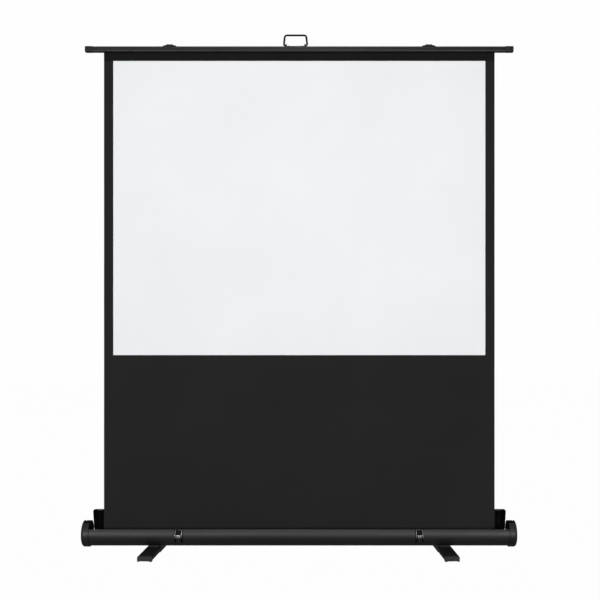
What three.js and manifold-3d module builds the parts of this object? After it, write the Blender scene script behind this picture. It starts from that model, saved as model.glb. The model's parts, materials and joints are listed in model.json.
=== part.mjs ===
// Floor-standing pull-up projection screen: a long round case on two swivelling feet, a fabric that
// unrolls upwards out of it, and a two-cell scissor frame behind the fabric that lifts the top bar.
// Millimetres, +Z up. X runs along the case, the viewer stands on the -Y side, and the floor is Z = 0.

import * as THREE from 'three';
import { mergeVertices } from 'three/addons/utils/BufferGeometryUtils.js';
import Module from 'manifold-3d';

const wasm = await Module();
wasm.setup();

// Clearances
const FIT = 0.3;
const HOLE_PLAY = 0.4;

// Fabric
const IMAGE_WIDTH = 1600;
const IMAGE_HEIGHT = 1265;
const SIDE_BORDER = 40;
const TOP_BORDER = 36;
const FABRIC_THICKNESS = 0.5;
const COATING_THICKNESS = 0.3;
const FABRIC_Y = -2.5;

// Case
const CASE_RADIUS = 52.5;
const CASE_WALL = 2;
const CASE_FRONT_ANGLE = 150;
const CASE_REAR_ANGLE = 348;
const CASE_LIP_DEPTH = 5;
const CASE_LIP_ANGLE = 2.5;
const CASE_END_ROOM = 38.9;
const CAP_LENGTH = 33;
const CAP_WALL = 4;
const CAP_END_WALL = 5;
const CAP_ROUNDING = 12;
const CAP_OVERLAP = 8;
const CAP_SLOT_FRONT = -28;
const CAP_SLOT_REAR = 30;
const CAP_SLOT_FLOOR = 14;

// Lid and its bead-in-socket hinge along the rear edge of the case
const LID_WALL = 1.8;
const LID_OPEN_ANGLE = 60;
const LID_FRONT_ANGLE = 148.5;
const LID_REAR_ANGLE = 0;
const LID_END_LENGTH = 22;
const LID_END_WALL = 3;
const LID_END_ROUNDING = 11;
const HINGE_OUT = 0.5;
const HINGE_DROP = 6;
const HINGE_BEAD_RADIUS = 3.6;
const HINGE_NECK = 1.8;
const SOCKET_WALL = 1.8;
const SOCKET_FROM_ANGLE = 122;
const SOCKET_TO_ANGLE = 329;
const KEEPER_WIDTH = 24;
const KEEPER_THICKNESS = 2.4;
const KEEPER_SPAN_ANGLE = 10;
const KEEPER_HOOK = 3;

// Roller
const ROLLER_RADIUS = 19;
const ROLLER_WALL = 1.4;
const ROLL_THICKNESS = 1.7;
const ROLLER_DROP = 4;
const ROLLER_OVERHANG = 6;
const PLUG_FLANGE = 4;
const PLUG_DEPTH = 20;
const JOURNAL_RADIUS = 4;
const BRACKET_THICKNESS = 6;
const BRACKET_TOP = 12;
const BRACKET_TO_ANGLE = 310;
const SPRING_LENGTH = 140;
const SPRING_TURNS = 10;
const SPRING_RADIUS = 10;
const SPRING_WIRE_RADIUS = 1.2;
const SPRING_GAP = 2;
const ANCHOR_LENGTH = 16;

// Scissor frame: four equal arms, fixed pivots on the left, sliding pins on the right
const ARM_WIDTH = 24;
const ARM_THICKNESS = 4;
const ARM_GAP = 1;
const ARM_GROOVE_WIDTH = 9;
const ARM_GROOVE_DEPTH = 0.8;
const ARM_GROOVE_MARGIN = 40;
const CELL_RISE = 1050;
const FOLDED_RISE = 27;
const PIVOT_INSET = 231.1;
const CHANNEL_MARGIN = 13.4;
const PIN_RADIUS = 4;
const PIN_HEAD_RADIUS = 7;
const PIN_HEAD = 1.9;
const CHANNEL_FRONT_Y = 5;
const CHANNEL_WALL = 2.5;
const CHANNEL_LIP = 1;
const CHANNEL_END = 18;
const CHANNEL_FLOOR = 0.5;

// Top bar
const BAR_END_GAP = 5;
const BAR_HEIGHT = 24;
const BAR_DEPTH = 23.4;
const BAR_ABOVE_PIVOT = 9.7;
const BAR_FRONT_ROUNDING = 6;
const BAR_REAR_ROUNDING = 2;
const BAR_GROOVE_HALF = 3.4;
const BAR_GROOVE_DEPTH = 1.6;
const BAR_WALL = 3.2;
const BAR_HOLLOW_HALF = 8;
const HEM_SLOT = 2;
const HEM_SLOT_DEPTH = 2.7;
const HEM_ROD_RADIUS = 3.7;
const TIP_LENGTH = 34;
const TIP_SIZE = 26;
const TIP_EDGE = 3;
const BUMPER_INSET = 363;
const BUMPER_WIDTH = 58;
const BUMPER_TOP_WIDTH = 26;
const BUMPER_SHOULDER = 4.5;
const BUMPER_HEIGHT = 8.5;
const BUMPER_DEPTH = 15;

// Carry handle
const HANDLE_X = -16;
const HANDLE_BASE = 100;
const HANDLE_TOP = 92;
const HANDLE_HEIGHT = 43;
const HANDLE_WIRE_RADIUS = 4.2;
const HANDLE_CORNER = 11;
const HANDLE_PLATE = 1.2;
const HANDLE_PLATE_DEPTH = 13;
const LUG_THICKNESS = 4;
const LUG_RADIUS = 6.4;

// Draw latches on the front of the case
const LATCH_INSET = 417;
const LATCH_WIDTH = 34;
const LATCH_BASE_THICKNESS = 2.2;
const LATCH_FROM_ANGLE = 152;
const LATCH_TO_ANGLE = 212;
const LEVER_PIVOT_ANGLE = 178;
const LEVER_PIVOT_OUT = 4;
const LEVER_WIDTH = 18;
const LEVER_THICKNESS = 2.2;
const LEVER_TO_ANGLE = 207;
const LEVER_BARREL_RADIUS = 2.4;
const LATCH_EAR = 1.6;
const LATCH_EAR_RADIUS = 4;
const LATCH_EAR_ANGLE = 4;
const LOOP_PIVOT_ANGLE = 187;
const LOOP_PIVOT_OUT = 6;
const LOOP_TOP_ANGLE = 154;
const LOOP_TOP_OUT = 3.6;
const LOOP_WIRE_RADIUS = 1.4;
const LOOP_CORNER = 3;
const LOOP_SIDE = 13.6;

// Feet
const FOOT_INSET = 307;
const FOOT_SPLAY_ANGLE = 4.5;
const FOOT_LENGTH = 344;
const FOOT_WIDTH = 62;
const FOOT_HEIGHT = 22;
const FOOT_WALL = 3;
const FOOT_LIP = 8;
const FOOT_LIP_HEIGHT = 2;
const FOOT_ROUNDING = 5;
const FOOT_LIFT = 5;
const FOOT_PLUG_LENGTH = 14;
const FOOT_PAD_WIDTH = 11;
const FOOT_PAD_ROUNDING = 3;
const SHOE_WIDTH = 60;
const SHOE_FRONT = -20;
const SHOE_REAR = 92;
const SWIVEL_GAP = 0.5;
const SADDLE_FLOOR = 2.2;
const SADDLE_LENGTH = 44;
const SADDLE_DEPTH = 44;
const BOLT_RADIUS = 4;
const BOLT_HEAD_RADIUS = 8;
const BOLT_HEAD = 4;

// Facets
const LARGE_ARC = 16;
const SMALL_ARC = 6;
const CORNER_ARC = 2;
const SHOULDER_STEPS = 5;
const WIRE_SIDES = 8;
const LATHE_SIDES = 40;
const PLUG_SIDES = 24;
const HANDLE_STEPS = 48;
const LOOP_STEPS = 32;
const SPRING_STEPS = 8;
const SPRING_SIDES = 5;

// Places worked out from the sizes above
const CASE_BORE = CASE_RADIUS - CASE_WALL;
const CASE_AXIS_Z = FOOT_HEIGHT + SWIVEL_GAP + SADDLE_FLOOR + FIT + CASE_RADIUS;
const CAP_BORE = CASE_RADIUS + HOLE_PLAY;
const CAP_RADIUS = CAP_BORE + CAP_WALL;
const HINGE_Y = CASE_RADIUS + HINGE_OUT;
const SOCKET_BORE = HINGE_BEAD_RADIUS + HOLE_PLAY;

const FABRIC_HALF_WIDTH = IMAGE_WIDTH / 2 + SIDE_BORDER;
const FABRIC_FRONT_Y = FABRIC_Y - FABRIC_THICKNESS / 2;
const ROLL_RADIUS = ROLLER_RADIUS + FIT + ROLL_THICKNESS;
const ROLLER_Y = FABRIC_FRONT_Y - FIT - ROLL_RADIUS;
const ROLLER_Z = CASE_AXIS_Z - ROLLER_DROP;
const ROLLER_HALF = FABRIC_HALF_WIDTH + ROLLER_OVERHANG;
const BRACKET_X = ROLLER_HALF + PLUG_FLANGE + 2 * FIT + SWIVEL_GAP;

const CAP_RIM_X = BRACKET_X + BRACKET_THICKNESS + CASE_END_ROOM;
const CASE_HALF_LENGTH = CAP_RIM_X + CAP_LENGTH;
const CASE_BODY_HALF = CAP_RIM_X + CAP_OVERLAP;
const LID_HALF = CAP_RIM_X - FIT - LID_END_LENGTH - FIT;
const BAR_HALF_LENGTH = CASE_HALF_LENGTH - CAP_END_WALL - BAR_END_GAP;
const FOOT_X = CASE_HALF_LENGTH - FOOT_INSET;
const LATCH_X = CASE_HALF_LENGTH - LATCH_INSET;
const BUMPER_X = BAR_HALF_LENGTH - BUMPER_INSET;

const FRONT_ARM_Y = CHANNEL_FRONT_Y + CHANNEL_WALL + FIT + PIN_HEAD + FIT;
const REAR_ARM_Y = FRONT_ARM_Y + ARM_THICKNESS + ARM_GAP;
const CHANNEL_REAR_INNER_Y = REAR_ARM_Y + ARM_THICKNESS + FIT + PIN_HEAD + FIT;
const CHANNEL_REAR_Y = CHANNEL_REAR_INNER_Y + CHANNEL_WALL;
const CHANNEL_SEAT_RADIUS = CASE_BORE - FIT;
const CHANNEL_FLOOR_Z = CASE_AXIS_Z - Math.sqrt(CHANNEL_SEAT_RADIUS ** 2 - CHANNEL_REAR_Y ** 2)
  + CHANNEL_FLOOR;
const LOWER_PIVOT_Z = CHANNEL_FLOOR_Z + HOLE_PLAY + ARM_WIDTH / 2;
const MIDDLE_PIVOT_Z = LOWER_PIVOT_Z + CELL_RISE;
const UPPER_PIVOT_Z = MIDDLE_PIVOT_Z + CELL_RISE;
const PIVOT_X = PIVOT_INSET - BRACKET_X;
const CHANNEL_LEFT_X = PIVOT_X - CHANNEL_END;
const CHANNEL_RIGHT_X = BRACKET_X - CHANNEL_MARGIN;
const SLIDE_FOLDED_X = CHANNEL_RIGHT_X - CHANNEL_END;
const ARM_LENGTH = Math.hypot(SLIDE_FOLDED_X - PIVOT_X, FOLDED_RISE);
const ARM_ANGLE = Math.asin(CELL_RISE / ARM_LENGTH);
const SLIDE_RAISED_X = PIVOT_X + Math.sqrt(ARM_LENGTH ** 2 - CELL_RISE ** 2);
const CROSS_X = (PIVOT_X + SLIDE_RAISED_X) / 2;
const PIN_HOLE_RADIUS = PIN_RADIUS + HOLE_PLAY;

const BAR_Z = UPPER_PIVOT_Z + BAR_ABOVE_PIVOT;
const BAR_Y = CHANNEL_FRONT_Y - FIT - BAR_DEPTH / 2;
const BAR_TOP_Z = BAR_Z + BAR_HEIGHT / 2;
const BAR_BOTTOM_Z = BAR_Z - BAR_HEIGHT / 2;
const HEM_BORE_RADIUS = HEM_ROD_RADIUS + HOLE_PLAY;
const HEM_BORE_Z = -BAR_HEIGHT / 2 + HEM_SLOT_DEPTH + HEM_BORE_RADIUS;
const HEM_BORE_Y = FABRIC_Y - BAR_Y;
const FABRIC_TOP_Z = BAR_Z + HEM_BORE_Z - HEM_ROD_RADIUS - FIT;
const IMAGE_TOP_Z = BAR_BOTTOM_Z - TOP_BORDER;
const IMAGE_BOTTOM_Z = IMAGE_TOP_Z - IMAGE_HEIGHT;
const HANDLE_PIVOT_Z = BAR_TOP_Z + FIT + HANDLE_PLATE + HANDLE_WIRE_RADIUS;
const LUG_OUTER = HANDLE_BASE / 2 - 2 * HANDLE_WIRE_RADIUS;

// Finishes
function finish(color, roughness, metalness) {
  return new THREE.MeshStandardMaterial({ color, roughness, metalness });
}
const SATIN_GREY = finish(0x45454a, 0.42, 0.35);
const BAR_GREY = finish(0x4a4a4e, 0.4, 0.5);
const BLACK_PLASTIC = finish(0x1b1b1d, 0.5, 0);
const GREY_PLASTIC = finish(0x46464a, 0.5, 0);
const BLACK_FABRIC = finish(0x262626, 0.95, 0);
const WHITE_FABRIC = finish(0xf0f2f4, 0.9, 0);
const DARK_ALUMINIUM = finish(0x2c2d30, 0.45, 0.6);
const STEEL = finish(0xb4b7bb, 0.35, 1);
const CHROME = finish(0xd6d8db, 0.12, 1);
const RUBBER = finish(0x151515, 0.85, 0);

// Closed meshes and cuts
const UNIT_X = new THREE.Vector3(1, 0, 0);
const UNIT_Y = new THREE.Vector3(0, 1, 0);
const UNIT_Z = new THREE.Vector3(0, 0, 1);
const DOWN_Y = new THREE.Vector3(0, -1, 0);
const WELD = 1e-4;

function rad(degrees) {
  return THREE.MathUtils.degToRad(degrees);
}

function solid(geometry) {
  const bare = geometry.clone();
  bare.deleteAttribute('normal');
  bare.deleteAttribute('uv');
  const merged = mergeVertices(bare, WELD);
  return new wasm.Manifold(new wasm.Mesh({
    numProp: 3,
    vertProperties: new Float32Array(merged.attributes.position.array),
    triVerts: new Uint32Array(merged.index.array),
  }));
}

function geometryOf(body) {
  const { vertProperties, triVerts } = body.getMesh();
  const geometry = new THREE.BufferGeometry();
  geometry.setAttribute('position', new THREE.BufferAttribute(vertProperties, 3));
  geometry.setIndex(new THREE.BufferAttribute(triVerts, 1));
  const flat = geometry.toNonIndexed();
  flat.computeVertexNormals();
  return flat;
}

function join(...geometries) {
  return geometryOf(geometries.map(solid).reduce((sum, next) => sum.add(next)));
}

function cut(geometry, ...tools) {
  return geometryOf(tools.map(solid).reduce((rest, tool) => rest.subtract(tool), solid(geometry)));
}

function extrude(shape, depth, arcs) {
  return new THREE.ExtrudeGeometry(shape, { depth, bevelEnabled: false, curveSegments: arcs });
}

// A section drawn in (y, z), run along X.
function alongX(shape, from, to, arcs = SMALL_ARC) {
  const turn = new THREE.Matrix4().makeBasis(UNIT_Y, UNIT_Z, UNIT_X);
  return extrude(shape, to - from, arcs).applyMatrix4(turn).translate(from, 0, 0);
}

// A section drawn in (x, z), run along Y.
function alongY(shape, from, to, arcs = SMALL_ARC) {
  const turn = new THREE.Matrix4().makeBasis(UNIT_X, UNIT_Z, DOWN_Y);
  return extrude(shape, to - from, arcs).applyMatrix4(turn).translate(0, to, 0);
}

// A section drawn in (x, y), run along Z.
function alongZ(shape, from, to, arcs = SMALL_ARC) {
  return extrude(shape, to - from, arcs).translate(0, 0, from);
}

// A profile of (radius, x) points, turned about the X axis.
function aboutX(points, sides = LATHE_SIDES) {
  const turn = new THREE.Matrix4().makeBasis(UNIT_Z, UNIT_X, UNIT_Y);
  const profile = points.map(([radius, x]) => new THREE.Vector2(radius, x));
  return new THREE.LatheGeometry(profile, sides).applyMatrix4(turn);
}

function mirrorX(geometry) {
  const mirrored = geometry.index ? geometry.toNonIndexed() : geometry.clone();
  mirrored.scale(-1, 1, 1);
  const position = mirrored.attributes.position;
  const second = new THREE.Vector3();
  const third = new THREE.Vector3();
  for (let i = 0; i < position.count; i += 3) {
    second.fromBufferAttribute(position, i + 1);
    third.fromBufferAttribute(position, i + 2);
    position.setXYZ(i + 1, third.x, third.y, third.z);
    position.setXYZ(i + 2, second.x, second.y, second.z);
  }
  mirrored.computeVertexNormals();
  return mirrored;
}

function box(x0, x1, y0, y1, z0, z1) {
  const geometry = new THREE.BoxGeometry(x1 - x0, y1 - y0, z1 - z0);
  return geometry.translate((x0 + x1) / 2, (y0 + y1) / 2, (z0 + z1) / 2);
}

// Outlines
function circle(radius, u = 0, v = 0) {
  const shape = new THREE.Shape();
  shape.absarc(u, v, radius, 0, 2 * Math.PI, false);
  return shape;
}

function ring(inner, outer, u = 0, v = 0) {
  const shape = circle(outer, u, v);
  shape.holes.push(circle(inner, u, v));
  return shape;
}

// A piece of a ring; angles in degrees, 0 towards the rear, 90 up, 180 towards the viewer.
function ringSector(inner, outer, from, to, y = 0, z = 0) {
  const shape = new THREE.Shape();
  shape.absarc(y, z, outer, rad(from), rad(to), false);
  shape.absarc(y, z, inner, rad(to), rad(from), true);
  return shape;
}

function stadium(x0, x1, radius, z = 0) {
  const shape = new THREE.Shape();
  shape.absarc(x1, z, radius, -Math.PI / 2, Math.PI / 2, false);
  shape.absarc(x0, z, radius, Math.PI / 2, 1.5 * Math.PI, false);
  return shape;
}

function roundedRect(u0, u1, v0, v1, radius) {
  const shape = new THREE.Shape();
  shape.absarc(u1 - radius, v0 + radius, radius, -Math.PI / 2, 0, false);
  shape.absarc(u1 - radius, v1 - radius, radius, 0, Math.PI / 2, false);
  shape.absarc(u0 + radius, v1 - radius, radius, Math.PI / 2, Math.PI, false);
  shape.absarc(u0 + radius, v0 + radius, radius, Math.PI, 1.5 * Math.PI, false);
  return shape;
}

function polar(radius, degrees) {
  return [radius * Math.cos(rad(degrees)), radius * Math.sin(rad(degrees))];
}

// Straight runs joined by rounded corners, and a round wire along them.
function roundedPath(points, corner) {
  const path = new THREE.CurvePath();
  let from = points[0];
  for (let i = 1; i < points.length - 1; i += 1) {
    const here = points[i];
    const before = from.clone().sub(here).setLength(corner).add(here);
    const after = points[i + 1].clone().sub(here).setLength(corner).add(here);
    path.add(new THREE.LineCurve3(from, before));
    path.add(new THREE.QuadraticBezierCurve3(before, here, after));
    from = after;
  }
  path.add(new THREE.LineCurve3(from, points[points.length - 1]));
  return path;
}

function wire(path, radius, steps, sides = WIRE_SIDES) {
  return new THREE.ExtrudeGeometry(circle(radius), {
    steps, extrudePath: path, bevelEnabled: false, curveSegments: sides / 2,
  });
}

// Case: an aluminium half-shell with a lip at its front edge and a hinge socket at its rear edge
function boltHole(side, bottom, top) {
  return alongZ(circle(BOLT_RADIUS + HOLE_PLAY, side * FOOT_X, 0), bottom, top);
}

function caseBody() {
  const from = -CASE_BODY_HALF;
  const to = CASE_BODY_HALF;
  const lipTo = CASE_FRONT_ANGLE + CASE_LIP_ANGLE;
  const shell = join(
    alongX(ringSector(CASE_BORE, CASE_RADIUS, CASE_FRONT_ANGLE, CASE_REAR_ANGLE), from, to, LARGE_ARC),
    alongX(ringSector(CASE_RADIUS - CASE_LIP_DEPTH, CASE_RADIUS, CASE_FRONT_ANGLE, lipTo), from, to, 1),
    alongX(ringSector(SOCKET_BORE, SOCKET_BORE + SOCKET_WALL, SOCKET_FROM_ANGLE, SOCKET_TO_ANGLE,
      HINGE_Y, -HINGE_DROP), FIT - CAP_RIM_X, CAP_RIM_X - FIT),
  );
  const holes = [-1, 1].map((side) => boltHole(side, -CASE_RADIUS - FIT, -CASE_BORE + CASE_WALL));
  return cut(shell, ...holes).translate(0, 0, CASE_AXIS_Z);
}

// End cap: a moulded cup over the end of the case, slotted on top for the tip of the lowered bar
// The rounded corner of a cup, as radius and x, from its side to its end.
function shoulder(radius, end, rounding, steps = SHOULDER_STEPS) {
  return Array.from({ length: steps + 1 }, (_, i) => {
    const [outwards, along] = polar(rounding, 90 * (1 - i / steps));
    return [radius - rounding + along, end - rounding + outwards];
  });
}

function caseEndCap() {
  const floorX = CASE_HALF_LENGTH - CAP_END_WALL;
  const profile = [[0, floorX], [CAP_BORE, floorX], [CAP_BORE, CAP_RIM_X], [CAP_RADIUS, CAP_RIM_X],
    ...shoulder(CAP_RADIUS, CASE_HALF_LENGTH, CAP_ROUNDING), [0, CASE_HALF_LENGTH]];
  const slot = box(CAP_RIM_X - FIT, floorX, CAP_SLOT_FRONT, CAP_SLOT_REAR, CAP_SLOT_FLOOR,
    CAP_RADIUS + CAP_WALL);
  return cut(aboutX(profile), slot).translate(0, 0, CASE_AXIS_Z);
}

// Roller: a spring-loaded tube with the last wraps of fabric on it
function rollerBracket(bore, arcs) {
  const start = 180 - THREE.MathUtils.radToDeg(Math.asin(BRACKET_TOP / CHANNEL_SEAT_RADIUS));
  const shape = new THREE.Shape();
  shape.absarc(0, 0, CHANNEL_SEAT_RADIUS, rad(start), rad(BRACKET_TO_ANGLE), false);
  shape.lineTo(CHANNEL_FRONT_Y, BRACKET_TOP);
  const seat = alongX(shape, BRACKET_X, BRACKET_X + BRACKET_THICKNESS, LARGE_ARC);
  const hole = alongX(bore, BRACKET_X - FIT, BRACKET_X + BRACKET_THICKNESS + FIT, arcs);
  return cut(seat, hole).translate(0, 0, CASE_AXIS_Z);
}

function journalHole() {
  return circle(JOURNAL_RADIUS + HOLE_PLAY, ROLLER_Y, -ROLLER_DROP);
}

const FLANGE_X = ROLLER_HALF + FIT;
const FLANGE_END_X = FLANGE_X + PLUG_FLANGE;
const BRACKET_END_X = BRACKET_X + BRACKET_THICKNESS;
const PLUG_RADIUS = ROLLER_RADIUS - ROLLER_WALL - FIT;
const SPRING_RIGHT_X = FLANGE_X - PLUG_DEPTH - SPRING_GAP;
const SPRING_LEFT_X = SPRING_RIGHT_X - SPRING_LENGTH;

function idlePlug() {
  return aboutX([
    [0, FLANGE_X - PLUG_DEPTH], [PLUG_RADIUS, FLANGE_X - PLUG_DEPTH], [PLUG_RADIUS, FLANGE_X],
    [ROLLER_RADIUS, FLANGE_X], [ROLLER_RADIUS, FLANGE_END_X], [JOURNAL_RADIUS, FLANGE_END_X],
    [JOURNAL_RADIUS, BRACKET_END_X], [0, BRACKET_END_X],
  ], PLUG_SIDES);
}

function springPlug() {
  const bore = JOURNAL_RADIUS + HOLE_PLAY;
  return aboutX([
    [bore, FLANGE_X - PLUG_DEPTH], [PLUG_RADIUS, FLANGE_X - PLUG_DEPTH], [PLUG_RADIUS, FLANGE_X],
    [ROLLER_RADIUS, FLANGE_X], [ROLLER_RADIUS, FLANGE_END_X], [bore, FLANGE_END_X],
    [bore, FLANGE_X - PLUG_DEPTH],
  ], PLUG_SIDES);
}

class Helix extends THREE.Curve {
  getPoint(t, target = new THREE.Vector3()) {
    const angle = t * SPRING_TURNS * 2 * Math.PI;
    const x = SPRING_LEFT_X + t * SPRING_LENGTH;
    return target.set(x, SPRING_RADIUS * Math.cos(angle), SPRING_RADIUS * Math.sin(angle));
  }
}

function rollerSpring() {
  return new THREE.ExtrudeGeometry(circle(SPRING_WIRE_RADIUS), {
    steps: SPRING_TURNS * SPRING_STEPS,
    extrudePath: new Helix(),
    bevelEnabled: false,
    curveSegments: SPRING_SIDES / 2,
  });
}

// Scissor frame: channels, arms and pins
function slideSlot(z) {
  const slot = stadium(SLIDE_RAISED_X - HOLE_PLAY, SLIDE_FOLDED_X + HOLE_PLAY, PIN_HOLE_RADIUS, z);
  return alongY(slot, CHANNEL_FRONT_Y - FIT, CHANNEL_REAR_Y + FIT);
}

function pivotHole(z) {
  return alongY(circle(PIN_HOLE_RADIUS, PIVOT_X, z), CHANNEL_FRONT_Y - FIT, CHANNEL_REAR_Y + FIT);
}

function lowerChannel() {
  const floor = CHANNEL_FLOOR_Z - CASE_AXIS_Z;
  const top = LOWER_PIVOT_Z - CASE_AXIS_Z + ARM_WIDTH / 2 + CHANNEL_LIP;
  const frontInner = CHANNEL_FRONT_Y + CHANNEL_WALL;
  const shape = new THREE.Shape();
  shape.absarc(0, 0, CHANNEL_SEAT_RADIUS, -Math.acos(CHANNEL_FRONT_Y / CHANNEL_SEAT_RADIUS),
    -Math.acos(CHANNEL_REAR_Y / CHANNEL_SEAT_RADIUS), false);
  shape.lineTo(CHANNEL_REAR_Y, top);
  shape.lineTo(CHANNEL_REAR_INNER_Y, top);
  shape.lineTo(CHANNEL_REAR_INNER_Y, floor);
  shape.lineTo(frontInner, floor);
  shape.lineTo(frontInner, top);
  shape.lineTo(CHANNEL_FRONT_Y, top);
  const channel = alongX(shape, CHANNEL_LEFT_X, CHANNEL_RIGHT_X).translate(0, 0, CASE_AXIS_Z);
  return cut(channel, slideSlot(LOWER_PIVOT_Z), pivotHole(LOWER_PIVOT_Z));
}

function upperChannel() {
  const bottom = UPPER_PIVOT_Z - ARM_WIDTH / 2 - CHANNEL_LIP;
  const ceiling = UPPER_PIVOT_Z + ARM_WIDTH / 2 + HOLE_PLAY;
  const top = ceiling + CHANNEL_WALL;
  const outer = box(CHANNEL_LEFT_X, CHANNEL_RIGHT_X, CHANNEL_FRONT_Y, CHANNEL_REAR_Y, bottom, top);
  const inner = box(CHANNEL_LEFT_X - FIT, CHANNEL_RIGHT_X + FIT, CHANNEL_FRONT_Y + CHANNEL_WALL,
    CHANNEL_REAR_INNER_Y, bottom - FIT, ceiling);
  return cut(outer, inner, slideSlot(UPPER_PIVOT_Z), pivotHole(UPPER_PIVOT_Z));
}

// A flat arm from its first pivot at the origin along +X, with a pressed groove in its outer face.
function arm(grooveFromY, grooveToY) {
  const half = ARM_LENGTH / 2;
  const shape = stadium(0, ARM_LENGTH, ARM_WIDTH / 2);
  [0, half, ARM_LENGTH].forEach((x) => shape.holes.push(circle(PIN_HOLE_RADIUS, x, 0)));
  const grooves = [0, half].map((start) => alongY(
    stadium(start + ARM_GROOVE_MARGIN, start + half - ARM_GROOVE_MARGIN, ARM_GROOVE_WIDTH / 2),
    grooveFromY, grooveToY, CORNER_ARC,
  ));
  return cut(alongY(shape, 0, ARM_THICKNESS), ...grooves);
}

function frontArm() {
  return arm(-FIT, ARM_GROOVE_DEPTH);
}

function rearArm() {
  return arm(ARM_THICKNESS - ARM_GROOVE_DEPTH, ARM_THICKNESS + FIT);
}

// A rivet along Y with a head outside each of the two arms that it holds together.
function armPin(x, z) {
  const frontHead = FRONT_ARM_Y - FIT - PIN_HEAD;
  const rearFace = REAR_ARM_Y + ARM_THICKNESS + FIT;
  return join(
    alongY(circle(PIN_RADIUS, x, z), frontHead, rearFace + PIN_HEAD),
    alongY(circle(PIN_HEAD_RADIUS, x, z), frontHead, FRONT_ARM_Y - FIT),
    alongY(circle(PIN_HEAD_RADIUS, x, z), rearFace, rearFace + PIN_HEAD),
  );
}

// A pin across a channel: headed behind the rear wall, and just short of the front wall's face.
function channelPin(x, z) {
  const rearFace = CHANNEL_REAR_Y + FIT;
  return join(
    alongY(circle(PIN_RADIUS, x, z), CHANNEL_FRONT_Y + FIT, rearFace + PIN_HEAD),
    alongY(circle(PIN_HEAD_RADIUS, x, z), rearFace, rearFace + PIN_HEAD),
  );
}

// Top bar: a grooved hollow profile with a keyhole slot for the hem of the fabric
function barSection() {
  const front = -BAR_DEPTH / 2;
  const rear = BAR_DEPTH / 2;
  const top = BAR_HEIGHT / 2;
  const round = BAR_FRONT_ROUNDING;
  const small = BAR_REAR_ROUNDING;
  const groove = BAR_GROOVE_HALF;
  const mouth = Math.asin(HEM_SLOT / 2 / HEM_BORE_RADIUS);
  const shape = new THREE.Shape();
  shape.absarc(rear - small, -top + small, small, -Math.PI / 2, 0, false);
  shape.absarc(rear - small, top - small, small, 0, Math.PI / 2, false);
  shape.absarc(front + round, top - round, round, Math.PI / 2, Math.PI, false);
  shape.lineTo(front, groove);
  shape.lineTo(front + BAR_GROOVE_DEPTH, groove - BAR_GROOVE_DEPTH);
  shape.lineTo(front + BAR_GROOVE_DEPTH, BAR_GROOVE_DEPTH - groove);
  shape.lineTo(front, -groove);
  shape.absarc(front + round, round - top, round, Math.PI, 1.5 * Math.PI, false);
  shape.lineTo(HEM_BORE_Y - HEM_SLOT / 2, -top);
  shape.absarc(HEM_BORE_Y, HEM_BORE_Z, HEM_BORE_RADIUS, 1.5 * Math.PI - mouth, mouth - Math.PI / 2, true);
  shape.lineTo(HEM_BORE_Y + HEM_SLOT / 2, -top);
  const hollowRear = HEM_BORE_Y - HEM_BORE_RADIUS - HEM_SLOT;
  const hollow = roundedRect(front + BAR_WALL, hollowRear, -BAR_HOLLOW_HALF, BAR_HOLLOW_HALF, small);
  shape.holes.push(hollow);
  return shape;
}

const BAR_BODY_HALF = BAR_HALF_LENGTH - TIP_LENGTH - FIT;

function topBar() {
  return alongX(barSection(), -BAR_BODY_HALF, BAR_BODY_HALF).translate(0, BAR_Y, BAR_Z);
}

function barTip() {
  const half = TIP_SIZE / 2 - TIP_EDGE;
  const turn = new THREE.Matrix4().makeBasis(UNIT_Y, UNIT_Z, UNIT_X);
  const geometry = new THREE.ExtrudeGeometry(roundedRect(-half, half, -half, half, TIP_EDGE), {
    depth: TIP_LENGTH - 2 * TIP_EDGE,
    bevelEnabled: true,
    bevelThickness: TIP_EDGE,
    bevelSize: TIP_EDGE,
    bevelSegments: 3,
    curveSegments: CORNER_ARC,
  });
  const start = BAR_HALF_LENGTH - TIP_LENGTH + TIP_EDGE;
  return geometry.applyMatrix4(turn).translate(start, BAR_Y, BAR_Z);
}

function barBumper(side) {
  const half = BUMPER_WIDTH / 2;
  const topHalf = BUMPER_TOP_WIDTH / 2;
  const step = BUMPER_HEIGHT - BUMPER_SHOULDER;
  const shape = new THREE.Shape();
  shape.moveTo(-half, 0);
  shape.lineTo(half, 0);
  shape.quadraticCurveTo(half, BUMPER_SHOULDER, topHalf + step, BUMPER_SHOULDER);
  shape.lineTo(topHalf, BUMPER_HEIGHT);
  shape.lineTo(-topHalf, BUMPER_HEIGHT);
  shape.lineTo(-topHalf - step, BUMPER_SHOULDER);
  shape.quadraticCurveTo(-half, BUMPER_SHOULDER, -half, 0);
  const depth = BUMPER_DEPTH / 2;
  return alongY(shape, BAR_Y - depth, BAR_Y + depth).translate(side * BUMPER_X, 0, BAR_TOP_Z + FIT);
}

// Carry handle: a wire bail turned inwards at its feet, held between two lugs
function handleBracket() {
  const lugInner = LUG_OUTER - LUG_THICKNESS;
  const depth = HANDLE_PLATE_DEPTH / 2;
  const rise = HANDLE_PIVOT_Z - BAR_TOP_Z - FIT;
  const lug = new THREE.Shape();
  lug.moveTo(-LUG_RADIUS, 0);
  lug.lineTo(LUG_RADIUS, 0);
  lug.absarc(0, rise, LUG_RADIUS, 0, Math.PI, false);
  const hole = circle(HANDLE_WIRE_RADIUS + HOLE_PLAY, 0, rise);
  const base = join(
    box(-LUG_OUTER, LUG_OUTER, -depth, depth, 0, HANDLE_PLATE),
    alongX(lug, lugInner, LUG_OUTER),
    alongX(lug, -LUG_OUTER, -lugInner),
  );
  const bored = cut(base, alongX(hole, -HANDLE_BASE, HANDLE_BASE));
  return bored.translate(HANDLE_X, BAR_Y, BAR_TOP_Z + FIT);
}

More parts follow.
